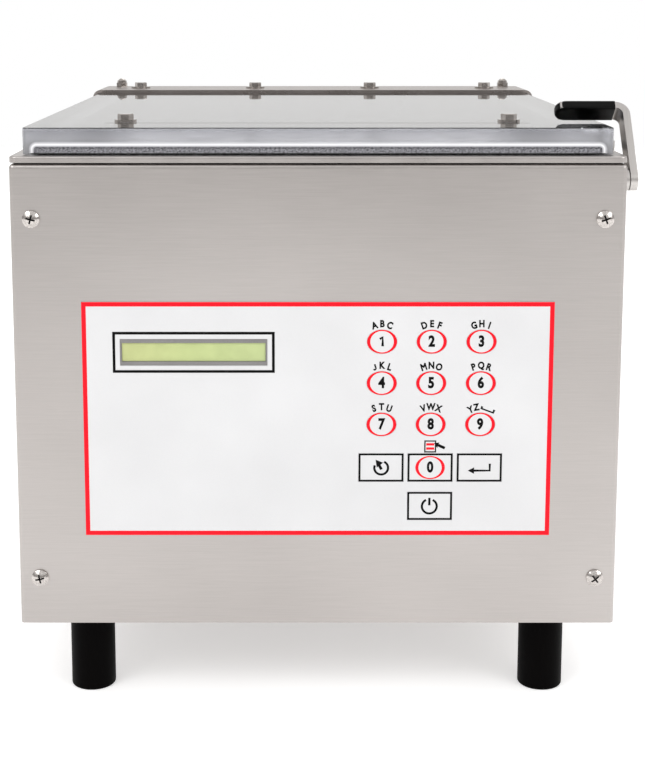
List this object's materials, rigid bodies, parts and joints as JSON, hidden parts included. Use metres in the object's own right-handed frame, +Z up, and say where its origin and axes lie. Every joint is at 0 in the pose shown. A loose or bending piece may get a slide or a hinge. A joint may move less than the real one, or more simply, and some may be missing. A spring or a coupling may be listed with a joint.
{
  "type": "vacuum packing machine",
  "caption": "Table-top chamber vacuum packing machine: steel cabinet, clear hinged lid with swinging handle, lifting seal bar and push-key panel.",
  "frame": {"origin": "on the bench, under the middle of the whole machine's box", "axes": "+X to the user's right, +Y to the back, +Z up; the keypad faces -Y"},
  "size_m": [0.433, 0.507, 0.4262],
  "materials": {
    "brushed_steel": "brushed stainless steel sheet",
    "polished_steel": "bright stainless fasteners and fittings",
    "clear_acrylic": "clear cast acrylic",
    "black_rubber": "moulded black rubber",
    "black_plastic": "dipped black vinyl",
    "white_film": "printed polyester film",
    "grey_plastic": "moulded grey plastic",
    "display_green": "yellow green liquid crystal display",
    "circuit_board": "glass fibre circuit board",
    "silicone": "moulded silicone",
    "aluminium": "extruded aluminium",
    "cast_grey": "painted cast aluminium",
    "heating_alloy": "flat nickel chrome strip"
  },
  "bodies": {
    "cabinet": {"base_plate": "brushed_steel", "front_panel": "brushed_steel", "rear_panel": "brushed_steel", "left_side_panel": "brushed_steel", "right_side_panel": "brushed_steel", "corner_posts": "brushed_steel", "chamber_tub": "brushed_steel", "front_panel_screws": "polished_steel", "panel_screws": "polished_steel", "feet": "black_rubber", "foot_bolts": "polished_steel", "keypad_overlay": "white_film", "keypad_board": "circuit_board", "key_switches": "grey_plastic", "board_spacers": "grey_plastic", "display_bezel": "grey_plastic", "display_module": "display_green", "mains_inlet": "black_plastic", "lift_cylinders": "aluminium", "pump_motor": "cast_grey", "pump_housing": "cast_grey", "oil_tank": "cast_grey", "pump_mounts": "black_rubber", "suction_pipe": "polished_steel", "vacuum_valve": "cast_grey", "transformer": "cast_grey", "control_board": "circuit_board"},
    "lid": {"lid_plate": "clear_acrylic", "lid_gasket": "black_rubber", "hinge_strip": "brushed_steel", "hinge_strip_bolts": "polished_steel", "lid_washers": "polished_steel", "hinge_blocks": "aluminium", "hinge_pins": "polished_steel", "hinge_cap_nuts": "polished_steel", "counter_bar": "aluminium", "counter_silicone": "silicone", "counter_bar_bolts": "polished_steel", "handle_arm": "brushed_steel", "handle_arm_screws": "polished_steel", "handle_pivot_bolt": "polished_steel"},
    "handle": {"handle_bar": "brushed_steel", "handle_sleeve": "black_plastic"},
    "seal_bar_lift": {"seal_bar": "aluminium", "heating_strip": "heating_alloy", "lift_rods": "polished_steel"},
    "key_1": {"key_1": "white_film"},
    "key_2": {"key_2": "white_film"},
    "key_3": {"key_3": "white_film"},
    "key_4": {"key_4": "white_film"},
    "key_5": {"key_5": "white_film"},
    "key_6": {"key_6": "white_film"},
    "key_7": {"key_7": "white_film"},
    "key_8": {"key_8": "white_film"},
    "key_9": {"key_9": "white_film"},
    "key_timer": {"key_timer": "white_film"},
    "key_0": {"key_0": "white_film"},
    "key_enter": {"key_enter": "white_film"},
    "key_power": {"key_power": "white_film"}
  },
  "joints": [
    {"name": "chamber_lid_hinge", "type": "hinge", "parent": "cabinet", "child": "lid", "pos_m": [-0.00295, 0.236, 0.4002], "axis": [-1, 0, 0], "range_deg": [0, 60]},
    {"name": "handle_pivot", "type": "hinge", "parent": "lid", "child": "handle", "pos_m": [0.21655, -0.232, 0.3738], "axis": [1, 0, 0], "range_deg": [0, 100]},
    {"name": "seal_bar_slide", "type": "slide", "parent": "cabinet", "child": "seal_bar_lift", "axis": [0, 0, 1], "range_m": [0, 0.006]},
    {"name": "key_1", "type": "slide", "parent": "cabinet", "child": "key_1", "axis": [0, 1, 0], "range_m": [0, 0.0005], "stiffness_N_per_m": 400},
    {"name": "key_2", "type": "slide", "parent": "cabinet", "child": "key_2", "axis": [0, 1, 0], "range_m": [0, 0.0005], "stiffness_N_per_m": 400},
    {"name": "key_3", "type": "slide", "parent": "cabinet", "child": "key_3", "axis": [0, 1, 0], "range_m": [0, 0.0005], "stiffness_N_per_m": 400},
    {"name": "key_4", "type": "slide", "parent": "cabinet", "child": "key_4", "axis": [0, 1, 0], "range_m": [0, 0.0005], "stiffness_N_per_m": 400},
    {"name": "key_5", "type": "slide", "parent": "cabinet", "child": "key_5", "axis": [0, 1, 0], "range_m": [0, 0.0005], "stiffness_N_per_m": 400},
    {"name": "key_6", "type": "slide", "parent": "cabinet", "child": "key_6", "axis": [0, 1, 0], "range_m": [0, 0.0005], "stiffness_N_per_m": 400},
    {"name": "key_7", "type": "slide", "parent": "cabinet", "child": "key_7", "axis": [0, 1, 0], "range_m": [0, 0.0005], "stiffness_N_per_m": 400},
    {"name": "key_8", "type": "slide", "parent": "cabinet", "child": "key_8", "axis": [0, 1, 0], "range_m": [0, 0.0005], "stiffness_N_per_m": 400},
    {"name": "key_9", "type": "slide", "parent": "cabinet", "child": "key_9", "axis": [0, 1, 0], "range_m": [0, 0.0005], "stiffness_N_per_m": 400},
    {"name": "key_timer", "type": "slide", "parent": "cabinet", "child": "key_timer", "axis": [0, 1, 0], "range_m": [0, 0.0005], "stiffness_N_per_m": 400},
    {"name": "key_0", "type": "slide", "parent": "cabinet", "child": "key_0", "axis": [0, 1, 0], "range_m": [0, 0.0005], "stiffness_N_per_m": 400},
    {"name": "key_enter", "type": "slide", "parent": "cabinet", "child": "key_enter", "axis": [0, 1, 0], "range_m": [0, 0.0005], "stiffness_N_per_m": 400},
    {"name": "key_power", "type": "slide", "parent": "cabinet", "child": "key_power", "axis": [0, 1, 0], "range_m": [0, 0.0005], "stiffness_N_per_m": 400}
  ]
}
